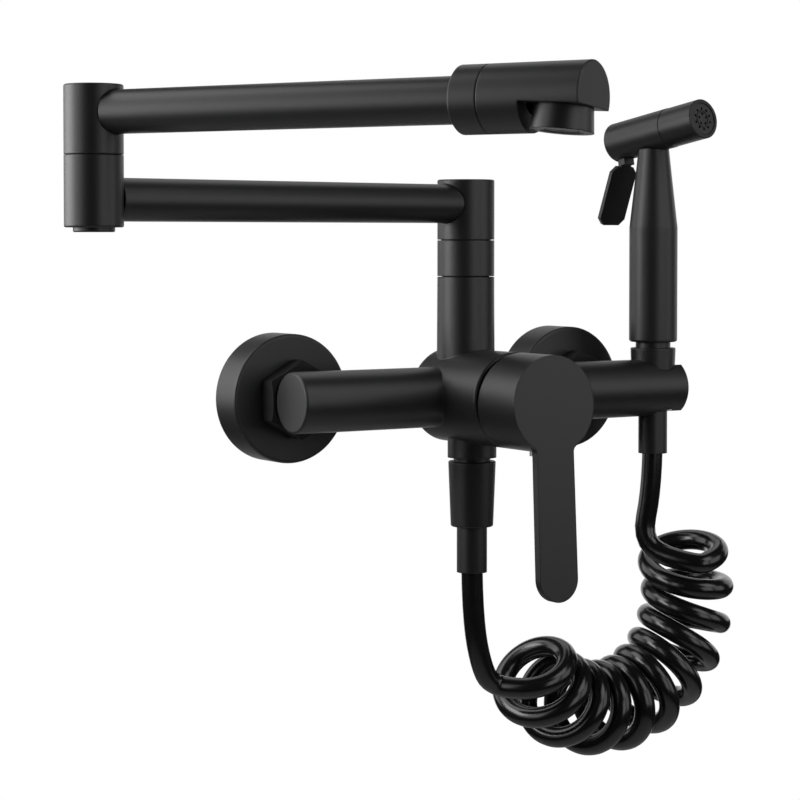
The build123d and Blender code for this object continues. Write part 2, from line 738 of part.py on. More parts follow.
with BuildPart() as moving_disc:
    rod(barrel, moving_disc_d, moving_disc_back, moving_disc_front)
    with BuildSketch(barrel.offset(moving_disc_back)):
        SlotOverall(2 * port_d, port_d)
    extrude(amount=moving_disc_t / 2, mode=Mode.SUBTRACT)
moving_disc.part.label = "moving_disc"
export_step(moving_disc.part, "parts/moving_disc.step")

with BuildPart() as disc_carrier:
    rod(barrel, moving_disc_d, moving_disc_front, carrier_front)
    rod(barrel, stem_ball_d + 2 * slip, moving_disc_front, carrier_front, Mode.SUBTRACT)
disc_carrier.part.label = "disc_carrier"
export_step(disc_carrier.part, "parts/disc_carrier.step")

slot_width = stem_side + 4 * slip
pivot = Plane((-pivot_length / 2, -arm_reach - pivot_depth, 0), x_dir=(0, 1, 0), z_dir=(1, 0, 0))
with BuildPart() as lever_rotor:
    rod(barrel, rotor_d, rotor_back, rotor_shoulder)
    rod(barrel, rotor_neck_d, rotor_shoulder, rotor_front)
    with BuildSketch(barrel.offset(rotor_back)):
        with Locations((0, (stem_slot_up - stem_slot_down) / 2)):
            Rectangle(slot_width, stem_slot_up + stem_slot_down)
    extrude(amount=rotor_front - rotor_back, mode=Mode.SUBTRACT)
    rod(pivot, pivot_d + 2 * slip, 0, pivot_length, Mode.SUBTRACT)
lever_rotor.part.label = "lever_rotor"
export_step(lever_rotor.part, "parts/lever_rotor.step")

with BuildPart() as pivot_pin:
    rod(pivot, pivot_d, 0, pivot_length)
pivot_pin.part.label = "pivot_pin"
export_step(pivot_pin.part, "parts/pivot_pin.step")

with BuildPart() as lever_stem:
    block(barrel, stem_side, stem_side, stem_back, stem_front)
    rod(pivot, pivot_d + 2 * running, 0, pivot_length, Mode.SUBTRACT)
    rod(barrel, stem_neck_d, stem_ball_depth, stem_back)
    with Locations((0, -arm_reach - stem_ball_depth, 0)):
        Sphere(stem_ball_d / 2)
lever_stem.part.label = "lever_stem"
export_step(lever_stem.part, "parts/lever_stem.step")

# Lever handle: a drum over the barrel's front with a paddle below
lean_dir = Vector(0, -cos(radians(handle_lean)), sin(radians(handle_lean)))
set_screw_y = -arm_reach - set_screw_depth
front_face = Plane((0, -arm_reach - handle_front, 0), x_dir=(1, 0, 0), z_dir=lean_dir)
rim_top = barrel_front + handle_gap_top
rim_bottom = barrel_front + handle_gap_bottom
rim_mid = (rim_top + rim_bottom) / 2
rim_dir = Vector(0, -handle_d, -(rim_top - rim_bottom))
rim_face = Plane((0, -arm_reach - rim_mid, 0), x_dir=(1, 0, 0), z_dir=rim_dir)
plate_back = handle_front - handle_plate - handle_d / 2 * tan(radians(handle_lean))
paddle_start = -sqrt(handle_d ** 2 - paddle_width ** 2) / 2
tip_centre = paddle_tip_width / 2 - paddle_tip
paddle_back = Plane(front_face.origin - lean_dir * handle_plate, x_dir=(1, 0, 0), z_dir=lean_dir)
with BuildPart() as lever_handle:
    with BuildSketch(barrel.offset(barrel_front)) as handle_outline:
        Circle(handle_d / 2)
        with BuildLine():
            Line((-paddle_width / 2, paddle_start / 2), (-paddle_width / 2, paddle_start))
            Line((-paddle_width / 2, paddle_start), (-paddle_tip_width / 2, tip_centre))
            ThreePointArc(
                (-paddle_tip_width / 2, tip_centre),
                (0, -paddle_tip),
                (paddle_tip_width / 2, tip_centre),
            )
            Line((paddle_tip_width / 2, tip_centre), (paddle_width / 2, paddle_start))
            Line((paddle_width / 2, paddle_start), (paddle_width / 2, paddle_start / 2))
            Line((paddle_width / 2, paddle_start / 2), (-paddle_width / 2, paddle_start / 2))
        make_face()
        roots = [v for v in handle_outline.vertices() if abs(v.Y - paddle_start) < edge]
        fillet(roots, paddle_fillet)
    extrude(amount=handle_front)
    split(bisect_by=paddle_back, keep=Keep.TOP)
    rod(barrel, handle_d, barrel_front, handle_front + handle_d / 2)
    split(bisect_by=front_face, keep=Keep.BOTTOM)
    split(bisect_by=rim_face, keep=Keep.TOP)
    rod(barrel, handle_d - 2 * handle_skirt, barrel_front, plate_back, Mode.SUBTRACT)
    rod(barrel, hub_d, hub_back, plate_back)
    block(barrel, stem_side + 2 * slip, stem_side + 2 * slip, hub_back, stem_front + slip, Mode.SUBTRACT)
    with BuildSketch(Plane((0, set_screw_y, -handle_d), x_dir=(1, 0, 0), z_dir=(0, 0, 1))):
        Circle(set_screw_d / 2 + slip)
    extrude(amount=handle_d, mode=Mode.SUBTRACT)
lever_handle.part.label = "lever_handle"
export_step(lever_handle.part, "parts/lever_handle.step")

with BuildPart() as set_screw:
    with BuildSketch(Plane((0, set_screw_y, -handle_d / 2 - set_screw_proud), z_dir=(0, 0, 1))):
        Circle(set_screw_d / 2)
    extrude(amount=handle_d / 2 + set_screw_proud - stem_side / 2)
set_screw.part.label = "set_screw"
export_step(set_screw.part, "parts/set_screw.step")

# Hose ends: nut, washer and ferrule, first at the body and then at the hand spray
body_nut_top = hose_stub_bottom - groove_height
ferrule_top = nipple_length + hose_washer_t
nut_shoulder = ferrule_top + ferrule_flange_t
nut_bore = groove_d + 2 * slip
nut_outline = [
    (nut_bore / 2, 0),
    (hose_nut_top_d / 2 - edge / 2, 0),
    (hose_nut_top_d / 2, -edge / 2),
    (hose_nut_bottom_d / 2, edge / 2 - hose_nut_length),
    (hose_nut_bottom_d / 2 - edge / 2, -hose_nut_length),
    (sleeve_d / 2 + slip, -hose_nut_length),
    (sleeve_d / 2 + slip, -nut_shoulder),
    (nut_bore / 2, -nut_shoulder),
]
sleeve_outline = [
    (hose_bore / 2, -ferrule_top),
    (groove_d / 2, -ferrule_top),
    (groove_d / 2, -nut_shoulder),
    (sleeve_d / 2, -nut_shoulder),
    (sleeve_d / 2, -hose_nut_length - sleeve_visible),
    (hose_bore / 2, -hose_nut_length - sleeve_visible),
]
body_end = hose_outlet.offset(body_nut_top)
spray_end = spray.offset(spray_nut_top)
with BuildPart() as hose_nut_lower:
    turn(body_end, nut_outline)
hose_nut_lower.part.label = "hose_nut_lower"
export_step(hose_nut_lower.part, "parts/hose_nut_lower.step")

with BuildPart() as hose_nut_upper:
    turn(spray_end, nut_outline)
hose_nut_upper.part.label = "hose_nut_upper"
export_step(hose_nut_upper.part, "parts/hose_nut_upper.step")

with BuildPart() as hose_washer_lower:
    rod(body_end, groove_d, -ferrule_top, -nipple_length)
    rod(body_end, hose_bore, -ferrule_top, -nipple_length, Mode.SUBTRACT)
hose_washer_lower.part.label = "hose_washer_lower"
export_step(hose_washer_lower.part, "parts/hose_washer_lower.step")

with BuildPart() as hose_washer_upper:
    rod(spray_end, groove_d, -ferrule_top, -nipple_length)
    rod(spray_end, hose_bore, -ferrule_top, -nipple_length, Mode.SUBTRACT)
hose_washer_upper.part.label = "hose_washer_upper"
export_step(hose_washer_upper.part, "parts/hose_washer_upper.step")

with BuildPart() as hose_sleeve_lower:
    turn(body_end, sleeve_outline)
hose_sleeve_lower.part.label = "hose_sleeve_lower"
export_step(hose_sleeve_lower.part, "parts/hose_sleeve_lower.step")

with BuildPart() as hose_sleeve_upper:
    turn(spray_end, sleeve_outline)
hose_sleeve_upper.part.label = "hose_sleeve_upper"
export_step(hose_sleeve_upper.part, "parts/hose_sleeve_upper.step")


# Spiral hose: a left-handed coil whose axis bends in a U, with a loose lead at each end
def coil_point(share):
    """Point of the hose's centre line, share 0 at the body's end of the coil and 1 at the spray's."""
    angle = radians(coil_start_angle + share * (coil_end_angle - coil_start_angle))
    total = 360 * coil_turns + coil_end_phase - coil_start_phase
    phase = radians(coil_start_phase + share * total)
    lean = radians(coil_start_lean + share * (coil_end_lean - coil_start_lean))
    outward = Vector(cos(angle), 0, sin(angle))
    along = Vector(-sin(angle), 0, cos(angle))
    front = Vector(0, -cos(lean), 0) - along * sin(lean)
    centre = Vector(coil_centre) + outward * coil_bend_radius
    return centre + outward * (coil_radius * cos(phase)) + front * (coil_front_radius * sin(phase))


def coil_tangent(share):
    """Direction of the hose at the same point."""
    step = 0.00001
    return (coil_point(share + step) - coil_point(share - step)).normalized()


coil_steps = 4 * coil_turns + 1
coil_points = [coil_point(i / coil_steps) for i in range(coil_steps + 1)]
coil_tangents = [coil_tangent(i / coil_steps) for i in range(coil_steps + 1)]
body_sleeve_end = body_nut_top - hose_nut_length - sleeve_visible
spray_sleeve_end = spray_nut_top - hose_nut_length - sleeve_visible
body_lead = [
    Vector(0, hose_outlet_y, body_sleeve_end + hose_d),
    Vector(0, hose_outlet_y, body_sleeve_end - 2 * hose_d),
    Vector(body_lead_bend),
    coil_points[0] - coil_tangents[0] * lead_in,
    coil_points[0],
]
spray_lead = [
    coil_points[-1],
    coil_points[-1] + coil_tangents[-1] * lead_out,
    Vector(spray_lead_bend),
    Vector(spray_x, -arm_reach, spray_sleeve_end - 1.6 * hose_d),
    Vector(spray_x, -arm_reach, spray_sleeve_end + hose_d),
]


def lead_radii(points):
    """Largest fillet at each corner that leaves a tenth of the shorter run straight."""
    radii = []
    for i in range(1, len(points) - 1):
        before = points[i] - points[i - 1]
        after = points[i + 1] - points[i]
        half_turn = radians(before.get_angle(after)) / 2
        radii.append(round(0.45 * min(before.length, after.length) / tan(half_turn), 2))
    return radii


body_radii = lead_radii(body_lead)
spray_radii = lead_radii(spray_lead)
print("hose lead radii", body_radii, spray_radii)
samples = [coil_point(i / 2000) for i in range(2001)]
turn_samples = int(2000 / (coil_turns + 1))
least = min(
    (samples[i] - samples[j]).length
    for i in range(0, 2001, 4)
    for j in range(i + turn_samples // 2, min(i + 2 * turn_samples, 2001))
)
print("hose least gap to itself", round(least - hose_d, 2))

with BuildPart() as spiral_hose:
    with BuildLine() as hose_path:
        FilletPolyline(*body_lead, radius=body_radii)
        for i in range(coil_steps):
            middle, middle_dir = biarc(coil_points[i], coil_tangents[i], coil_points[i + 1], coil_tangents[i + 1])
            TangentArc(coil_points[i], middle, tangent=coil_tangents[i])
            TangentArc(middle, coil_points[i + 1], tangent=middle_dir)
        FilletPolyline(*spray_lead, radius=spray_radii)
    with BuildSketch(Plane(body_lead[0], z_dir=(0, 0, -1))):
        Circle(hose_d / 2)
    sweep()
spiral_hose.part.label = "spiral_hose"
export_step(spiral_hose.part, "parts/spiral_hose.step")

# Hand spray grip, a turned tube with a cone and a spigot for the head
grip_outline = [
    (hose_bore / 2, spray_nut_top - nipple_length),
    (groove_d / 2, spray_nut_top - nipple_length),
    (groove_d / 2, grip_bottom),
    (grip_d / 2 - edge, grip_bottom),
    (grip_d / 2, grip_bottom + edge),
    (grip_d / 2, grip_shoulder),
    (cone_d / 2, cone_top),
    (neck_d / 2, neck_top),
    (neck_spigot_d / 2, neck_top),
    (neck_spigot_d / 2, neck_top + neck_spigot_length),
    (hose_bore / 2, neck_top + neck_spigot_length),
]
with BuildPart() as spray_grip:
    turn(spray, grip_outline)
spray_grip.part.label = "spray_grip"
export_step(spray_grip.part, "parts/spray_grip.step")

# Hand spray head
tilt = radians(head_tilt)
yaw = radians(head_yaw)
head_dir = Vector(cos(tilt) * sin(yaw), -cos(tilt) * cos(yaw), sin(tilt))
head_up = Vector(-sin(tilt) * sin(yaw), sin(tilt) * cos(yaw), cos(tilt))
head_side = head_up.cross(head_dir)
head_centre = Vector(spray_x, -arm_reach, head_z)
head = Plane(head_centre, x_dir=head_up, z_dir=head_dir)
pin_point = head_centre - head_dir * trigger_pin_at + head_up * trigger_pin_up
pin_plane = Plane(pin_point, x_dir=head_up, z_dir=head_side)
pin_half = head_d / 2 - 2 * edge
plunger_up = trigger_pin_up - plunger_below
plunger_axis = Plane(head_centre + head_up * plunger_up, x_dir=head_up, z_dir=head_dir)
eye_d = trigger_pin_d + 2 * trigger_eye_wall
slot_length = trigger_slot_back - trigger_slot_front
slot_middle = trigger_pin_at - (trigger_slot_back + trigger_slot_front) / 2
with BuildPart() as spray_head:
    rod(head, head_d, -head_rear, head_seam)
    chamfer(spray_head.edges().sort_by(Axis.Y)[-1], edge)
    turn(spray, [
        (0, cone_top),
        (cone_d / 2 + slip, cone_top),
        (neck_d / 2 + slip, neck_top),
        (neck_spigot_d / 2 + slip, neck_top),
        (neck_spigot_d / 2 + slip, neck_top + neck_spigot_length),
        (0, neck_top + neck_spigot_length),
    ], Mode.SUBTRACT)
    rod(plunger_axis, valve_chamber_d, -valve_chamber_start, valve_chamber_end, Mode.SUBTRACT)
    rod(plunger_axis, plunger_d + 2 * running, -trigger_pin_at, 0, Mode.SUBTRACT)
    rod(plunger_axis, valve_chamber_d / 2, 0, head_seam, Mode.SUBTRACT)
    with BuildSketch(pin_plane.offset(-trigger_slot / 2)):
        with Locations((eye_d / 2 + gap, slot_middle)):
            Rectangle(head_d, slot_length, align=(Align.MAX, Align.CENTER))
    extrude(amount=trigger_slot, mode=Mode.SUBTRACT)
    rod(pin_plane, trigger_pin_d + 2 * slip, -pin_half, pin_half, Mode.SUBTRACT)
spray_head.part.label = "spray_head"
export_step(spray_head.part, "parts/spray_head.step")

nozzle_d = head_d - 2 * nozzle_step
face_back = head_front - face_recess - face_t
with BuildPart() as spray_nozzle:
    rod(head, nozzle_d, head_seam, head_front)
    chamfer(spray_nozzle.edges().sort_by(Axis.Y)[0], edge / 2)
    rod(head, nozzle_d - 2 * nozzle_wall, face_back, head_front, Mode.SUBTRACT)
    rod(head, valve_chamber_d, head_seam, head_front, Mode.SUBTRACT)
spray_nozzle.part.label = "spray_nozzle"
export_step(spray_nozzle.part, "parts/spray_nozzle.step")

face_d = nozzle_d - 2 * nozzle_wall - 2 * slip
with BuildPart() as spray_face:
    rod(head, face_d, face_back, face_back + face_t)
    with BuildSketch(head.offset(face_back)):
        with PolarLocations(jet_circle_d / 2, jet_count):
            Circle(jet_d / 2)
        with PolarLocations(jet_circle_d / 4, jet_count // 2):
            Circle(jet_d / 2)
    extrude(amount=face_t, mode=Mode.SUBTRACT)
spray_face.part.label = "spray_face"
export_step(spray_face.part, "parts/spray_face.step")

with BuildPart() as trigger_pin:
    rod(pin_plane, trigger_pin_d, -pin_half, pin_half)
trigger_pin.part.label = "trigger_pin"
export_step(trigger_pin.part, "parts/trigger_pin.step")

# Trigger: an eye on the pin, an arm that pushes the plunger, and a leaf that hangs behind the grip
back_dir = Vector(-sin(yaw), cos(yaw), 0)
leaf_dir = back_dir * sin(radians(trigger_lean)) - Vector(0, 0, 1) * cos(radians(trigger_lean))
arm_length = trigger_pin_up + head_d / 2 + gap
leaf_top = pin_point - head_up * arm_length
leaf_normal = head_side.cross(leaf_dir)
leaf_face = Plane(leaf_top - leaf_normal * trigger_t / 2, x_dir=head_side, z_dir=leaf_normal)
with BuildPart() as trigger_lever:
    rod(pin_plane, eye_d, -trigger_arm / 2, trigger_arm / 2)
    with BuildSketch(pin_plane.offset(-trigger_arm / 2)):
        Rectangle(arm_length + trigger_t, trigger_arm_depth, align=(Align.MAX, Align.CENTER))
    extrude(amount=trigger_arm)
    rod(pin_plane, trigger_pin_d + 2 * running, -trigger_arm, trigger_arm, Mode.SUBTRACT)
    with BuildSketch(leaf_face):
        Rectangle(trigger_arm, 2 * trigger_neck_length, align=(Align.CENTER, Align.MIN))
        with Locations((0, trigger_neck_length)):
            Rectangle(trigger_width, trigger_length - trigger_neck_length, align=(Align.CENTER, Align.MIN))
        chamfer(vertices().group_by(Axis.X)[0] + vertices().group_by(Axis.X)[-1], trigger_corner)
    extrude(amount=trigger_t)
trigger_lever.part.label = "trigger_lever"
export_step(trigger_lever.part, "parts/trigger_lever.step")

# Valve plunger, its seal and its spring
flange_front = plunger_flange_t - plunger_flange_at
with BuildPart() as valve_plunger:
    rod(plunger_axis, plunger_d, -plunger_start, flange_front)
    fillet(valve_plunger.edges().sort_by(Axis.Y)[-1], plunger_tip)
    rod(plunger_axis, plunger_flange_d, -plunger_flange_at, flange_front)
valve_plunger.part.label = "valve_plunger"
export_step(valve_plunger.part, "parts/valve_plunger.step")

spring_mean_r = (spring_d - spring_wire) / 2
spring_start = flange_front + spring_wire / 2
spring_length = valve_chamber_end - spring_wire / 2 - spring_start


def spring_point(share):
    """Point on the spring's wire, share 0 at the plunger's flange."""
    phase = radians(360 * spring_turns * share)
    around = plunger_axis.x_dir * cos(phase) + plunger_axis.y_dir * sin(phase)
    return plunger_axis.origin + head_dir * (spring_start + spring_length * share) + around * spring_mean_r


def spring_tangent(share):
    """Direction of the wire at the same point."""
    step = 0.00001
    return (spring_point(share + step) - spring_point(share - step)).normalized()


spring_steps = 4 * spring_turns
spring_points = [spring_point(i / spring_steps) for i in range(spring_steps + 1)]
spring_tangents = [spring_tangent(i / spring_steps) for i in range(spring_steps + 1)]
with BuildPart() as plunger_spring:
    with BuildLine() as spring_path:
        for i in range(spring_steps):
            middle, middle_dir = biarc(
                spring_points[i], spring_tangents[i], spring_points[i + 1], spring_tangents[i + 1]
            )
            TangentArc(spring_points[i], middle, tangent=spring_tangents[i])
            TangentArc(middle, spring_points[i + 1], tangent=middle_dir)
    with BuildSketch(Plane(spring_points[0], z_dir=spring_tangents[0])):
        Circle(spring_wire / 2)
    sweep()
plunger_spring.part.label = "plunger_spring"
export_step(plunger_spring.part, "parts/plunger_spring.step")
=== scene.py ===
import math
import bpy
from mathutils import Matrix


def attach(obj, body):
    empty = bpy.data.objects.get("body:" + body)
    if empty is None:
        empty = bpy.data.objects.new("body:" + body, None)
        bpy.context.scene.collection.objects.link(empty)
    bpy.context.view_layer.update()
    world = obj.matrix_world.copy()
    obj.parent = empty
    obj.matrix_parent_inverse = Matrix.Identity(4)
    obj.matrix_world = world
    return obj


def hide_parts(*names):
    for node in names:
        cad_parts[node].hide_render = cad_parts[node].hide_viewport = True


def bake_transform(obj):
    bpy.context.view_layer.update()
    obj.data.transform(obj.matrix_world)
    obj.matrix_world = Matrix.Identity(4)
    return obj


bl_info = {
    "name": "Wall sink mixer",
    "version": (1, 0, 0),
    "blender": (4, 5, 0),
    "location": "View3D > Sidebar > Mixer",
    "description": "Dresses a wall-mounted sink mixer with a folding spout and a hand spray",
    "category": "Object",
}

import bmesh
import bpy
import numpy as np
from bpy.props import FloatProperty, FloatVectorProperty, IntProperty, PointerProperty

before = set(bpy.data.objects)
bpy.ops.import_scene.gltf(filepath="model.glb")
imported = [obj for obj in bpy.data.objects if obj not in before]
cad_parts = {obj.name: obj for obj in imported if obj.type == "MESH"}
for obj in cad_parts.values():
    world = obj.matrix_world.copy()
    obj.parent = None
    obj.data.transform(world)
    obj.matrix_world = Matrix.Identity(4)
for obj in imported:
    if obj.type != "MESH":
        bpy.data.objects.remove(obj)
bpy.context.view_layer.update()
MM = 0.001
UP = np.array([0.0, 0.0, 1.0])

# Pieces by finish, as the CAD frame names them
COATED = (
    "mixer_body", "wall_flange_left", "wall_flange_right", "retaining_nut", "lever_handle",
    "swivel_collar", "riser_head", "lower_tube", "knuckle_lower", "knuckle_cap", "knuckle_upper",
    "upper_tube", "outlet_collar", "outlet_nozzle", "aerator_housing",
    "spray_grip", "spray_head", "spray_nozzle", "trigger_lever", "trigger_pin",
    "hose_nut_lower", "hose_sleeve_lower", "hose_nut_upper", "hose_sleeve_upper",
)
# The union nuts get a darker copy of the coating, which is painted shade for the shadow they sit in
UNION_NUTS = ("union_nut_left", "union_nut_right")
BRASS = (
    "inlet_connector_left", "inlet_connector_right", "inlet_tail_left", "inlet_tail_right", "lever_stem",
)
STEEL = ("riser_clip", "knuckle_clip", "pivot_pin", "set_screw", "plunger_spring", "valve_plunger")
RUBBER = (
    "inlet_washer_left", "inlet_washer_right", "cartridge_seals", "hose_washer_lower",
    "hose_washer_upper", "riser_seals", "knuckle_seal", "aerator_washer",
)
WHITE_PLASTIC = ("swivel_bush", "cartridge_housing", "lever_rotor", "disc_carrier")
DARK_PLASTIC = ("aerator_insert", "spray_face")
CERAMIC = ("fixed_disc", "moving_disc")


class MixerSizes(bpy.types.PropertyGroup):
    """Sizes of the spiral hose."""

    hose_diameter: FloatProperty(
        name="Hose diameter", description="Outside of the hose", default=0.0096, unit="LENGTH")
    coil_radius: FloatVectorProperty(
        name="Coil radius", size=4, unit="LENGTH",
        description="From the coil's axis to the hose's centre in the plane of the U, end to end",
        default=(0.0169, 0.01746, 0.01639, 0.01486))
    coil_front_radius: FloatVectorProperty(
        name="Coil front radius", size=4, unit="LENGTH",
        description="From the coil's axis to the hose's centre towards the front, end to end",
        default=(0.01912, 0.01895, 0.01831, 0.02015))
    coil_turns: IntProperty(name="Turns", description="Full turns of the coil", default=10)
    bend_radius: FloatProperty(
        name="Bend radius", description="Radius of the U that the coil hangs in",
        default=0.05027, unit="LENGTH")
    points_per_turn: IntProperty(name="Points", description="Control points in each turn", default=16)


class MixerFinishes(bpy.types.PropertyGroup):
    """Colours and gloss of the finishes that show."""

    coat_colour: FloatVectorProperty(
        name="Coating", description="Matte black coating of the metal", subtype="COLOR",
        default=(0.0085, 0.0085, 0.0090))
    coat_roughness: FloatProperty(
        name="Coating roughness", description="Higher is more matte", subtype="FACTOR",
        default=0.42, min=0, max=1)
    edge_radius: FloatProperty(
        name="Coating edge", description="How far the coating rounds sharp edges",
        default=0.0007, unit="LENGTH")
    # The nuts' colour is darker than the coating's: painted shade for the shadow behind the arms
    nut_shade_colour: FloatVectorProperty(
        name="Nuts", description="Dull black of the union nuts", subtype="COLOR",
        default=(0.004, 0.004, 0.0042))
    nut_roughness: FloatProperty(
        name="Nut roughness", description="Higher is more matte", subtype="FACTOR",
        default=0.7, min=0, max=1)
    hose_colour: FloatVectorProperty(
        name="Hose", description="Glossy black of the hose", subtype="COLOR",
        default=(0.006, 0.006, 0.0065))
    hose_roughness: FloatProperty(
        name="Hose roughness", description="Lower is glossier", subtype="FACTOR",
        default=0.2, min=0, max=1)


class MixerStage(bpy.types.PropertyGroup):
    """Camera, floor and room light."""

    camera_place: FloatVectorProperty(
        name="Camera", description="Where the camera stands", subtype="TRANSLATION",
        default=(-0.58818, -0.90630, 0.07117))
    camera_turn: FloatProperty(
        name="Camera turn", description="Turn of the camera from straight on", subtype="ANGLE",
        default=math.radians(-32.612))
    camera_pitch: FloatProperty(
        name="Camera pitch", description="How far the camera looks down", subtype="ANGLE",
        default=math.radians(2.0))
    camera_lens: FloatProperty(
        name="Lens", description="Focal length in millimetres", default=106.436, unit="CAMERA")
    camera_drop: FloatProperty(
        name="Drop", description="Shift of the picture in widths, below zero for a lower part of the view",
        default=-0.1032)
    floor_height: FloatProperty(
        name="Floor", description="Height of the floor", default=-0.9, unit="LENGTH")
    floor_radius: FloatProperty(
        name="Floor radius", description="Reach of the round floor", default=1.4, unit="LENGTH")
    room_level: FloatProperty(
        name="Room", description="Strength of the even light of the room", default=0.02, min=0)


# Finishes

NOISE_FROM, NOISE_TO, NOISE_DETAIL = 0.3, 0.7, 2.0
GRAIN_STRENGTH = 0.6
EDGE_SAMPLES = 6
NUT_SHINE = 0.25


def plain_finish(name, colour, roughness, metallic=0.0):
    """One even finish: colour, roughness and metal share set on the shader's own sockets."""
    material = bpy.data.materials.new(name)
    material.use_nodes = True
    shader = material.node_tree.nodes["Principled BSDF"]
    shader.inputs["Base Color"].default_value = (*colour, 1.0)
    shader.inputs["Roughness"].default_value = roughness
    shader.inputs["Metallic"].default_value = metallic
    return material


def worked_finish(
        name, colour, roughness, grain_size, grain_depth, spread, metallic=0.0, stretch=(1.0, 1.0, 1.0)):
    """A finish with a fine grain: noise on object coordinates shifts colour and gloss and drives a bump.

    The noise is finer along a direction whose stretch is larger, which leaves marks across it.
    """
    material = plain_finish(name, colour, roughness, metallic)
    nodes, links = material.node_tree.nodes, material.node_tree.links
    shader = nodes["Principled BSDF"]
    place = nodes.new("ShaderNodeTexCoord")
    marks = nodes.new("ShaderNodeMapping")
    marks.inputs["Scale"].default_value = stretch
    noise = nodes.new("ShaderNodeTexNoise")
    noise.inputs["Scale"].default_value = 1.0 / grain_size
    noise.inputs["Detail"].default_value = NOISE_DETAIL
    tone = nodes.new("ShaderNodeValToRGB")
    dark, light = tone.color_ramp.elements
    dark.position = NOISE_FROM
    dark.color = (*(np.array(colour) * (1.0 - spread)), 1.0)
    light.position = NOISE_TO
    light.color = (*(np.array(colour) * (1.0 + spread)), 1.0)
    gloss = nodes.new("ShaderNodeMapRange")
    gloss.inputs["From Min"].default_value = NOISE_FROM
    gloss.inputs["From Max"].default_value = NOISE_TO
    gloss.inputs["To Min"].default_value = roughness * (1.0 - spread)
    gloss.inputs["To Max"].default_value = roughness * (1.0 + spread)
    bump = nodes.new("ShaderNodeBump")
    bump.inputs["Distance"].default_value = grain_depth
    bump.inputs["Strength"].default_value = GRAIN_STRENGTH
    links.new(place.outputs["Object"], marks.inputs["Vector"])
    links.new(marks.outputs["Vector"], noise.inputs["Vector"])
    links.new(noise.outputs["Fac"], tone.inputs["Fac"])
    links.new(noise.outputs["Fac"], gloss.inputs["Value"])
    links.new(noise.outputs["Fac"], bump.inputs["Height"])
    links.new(tone.outputs["Color"], shader.inputs["Base Color"])
    links.new(gloss.outputs["Result"], shader.inputs["Roughness"])
    links.new(bump.outputs["Normal"], shader.inputs["Normal"])
    return material


def soften_edges(material, radius):
    """Lets a finish catch light along sharp edges, as a coating that rounds them does."""
    nodes, links = material.node_tree.nodes, material.node_tree.links
    rounding = nodes.new("ShaderNodeBevel")
    rounding.samples = EDGE_SAMPLES
    rounding.inputs["Radius"].default_value = radius
    links.new(rounding.outputs["Normal"], nodes["Bump"].inputs["Normal"])


def coating_finish(finishes):
    """Matte black coating of the metal, which rounds sharp edges a little."""
    coating = worked_finish(
        "matte black coating", finishes.coat_colour, finishes.coat_roughness,
        grain_size=0.35 * MM, grain_depth=0.02 * MM, spread=0.06)
    soften_edges(coating, finishes.edge_radius)
    return coating


def painted_shade_nut_finish(finishes):
    """A darker, duller copy of the coating for the union nuts, which shine less than the coating: the darker
    colour is painted shade for the shadow they sit in behind the arms.
    """
    dull = worked_finish(
        "black nut darkened for painted shade", finishes.nut_shade_colour, finishes.nut_roughness,
        grain_size=0.35 * MM, grain_depth=0.02 * MM, spread=0.06)
    dull.node_tree.nodes["Principled BSDF"].inputs["Specular IOR Level"].default_value = NUT_SHINE
    return dull


def hose_finish(finishes):
    """Glossy black skin of the hose, with faint broad ripples."""
    return worked_finish(
        "glossy black hose", finishes.hose_colour, finishes.hose_roughness,
        grain_size=4.0 * MM, grain_depth=0.006 * MM, spread=0.05)


def brass_finish():
    """Turned brass, with fine marks across the line into the wall."""
    return worked_finish(
        "turned brass", (0.50, 0.34, 0.12), 0.3, grain_size=1.2 * MM, grain_depth=0.02 * MM,
        spread=0.12, metallic=1.0, stretch=(1.0, 12.0, 1.0))


def steel_finish():
    """Plain steel of the clips, pins, screw, plunger and spring."""
    return worked_finish(
        "plain steel", (0.37, 0.37, 0.38), 0.35, grain_size=0.5 * MM, grain_depth=0.01 * MM,
        spread=0.1, metallic=1.0)


def rubber_finish():
    """Black rubber of the washers and seals."""
    return worked_finish(
        "black rubber", (0.012, 0.012, 0.012), 0.75, grain_size=0.4 * MM, grain_depth=0.04 * MM, spread=0.15)


def bearing_finish():
    """White plastic of the swivel bush and the cartridge."""
    return worked_finish(
        "white bearing plastic", (0.68, 0.68, 0.65), 0.45,
        grain_size=0.8 * MM, grain_depth=0.02 * MM, spread=0.04)


def insert_finish():
    """Dark moulded plastic of the aerator and the spray face."""
    return worked_finish(
        "dark insert plastic", (0.022, 0.022, 0.024), 0.5,
        grain_size=0.5 * MM, grain_depth=0.02 * MM, spread=0.1)


def screen_finish_with_painted_underlight():
    """Paler moulded plastic of the aerator's screen: partly the plastic's own grey, partly painted light for
    the light the floor throws up onto it.
    """
    return worked_finish(
        # Paler than the insert plastic: grey plastic plus painted light from below
        "pale insert plastic with painted underlight", (0.05, 0.05, 0.052), 0.45,
        grain_size=0.5 * MM, grain_depth=0.02 * MM, spread=0.1)


def ceramic_finish():
    """Lapped ceramic of the two discs."""
    return worked_finish(
        "lapped ceramic", (0.80, 0.80, 0.77), 0.15, grain_size=0.2 * MM, grain_depth=0.002 * MM, spread=0.05)


def dress(names, material):
    """Gives CAD nodes one finish."""
    for name in names:
        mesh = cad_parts[name].data
        mesh.materials.clear()
        mesh.materials.append(material)


def finish_of(node):
    """The finish that a CAD node has."""
    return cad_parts[node].data.materials[0]


class MIXER_OT_metal(bpy.types.Operator):
    """Gives the coated metal pieces and the union nuts their black finishes"""

    bl_idname = "mixer.metal"
    bl_label = "Coated metal"

    def execute(self, context):
        finishes = context.scene.mixer_finishes
        dress(COATED, coating_finish(finishes))
        dress(UNION_NUTS, painted_shade_nut_finish(finishes))
        return {"FINISHED"}


